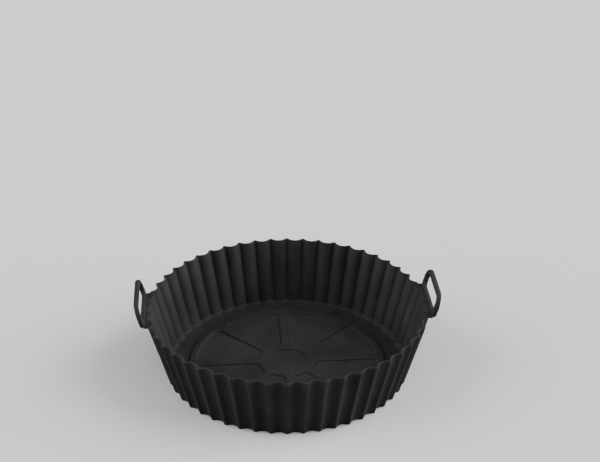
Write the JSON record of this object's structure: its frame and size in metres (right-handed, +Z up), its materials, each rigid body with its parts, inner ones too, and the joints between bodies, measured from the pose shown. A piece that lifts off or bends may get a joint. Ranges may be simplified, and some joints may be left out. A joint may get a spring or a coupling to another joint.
{
  "type": "air fryer liner",
  "caption": "Round tapered silicone basket liner with a pleated wall, a raised wheel pattern on its floor and a pull loop on each side of the rim.",
  "frame": {"origin": "centre of the flat underside, midway between the two pull loops", "axes": "+Z up out of the bowl, +X through the middle of one pull loop"},
  "size_m": [0.2128, 0.1996, 0.0642],
  "materials": {
    "silicone": "matt moulded silicone rubber, charcoal black"
  },
  "bodies": {
    "root": {"liner": "silicone"}
  },
  "joints": []
}
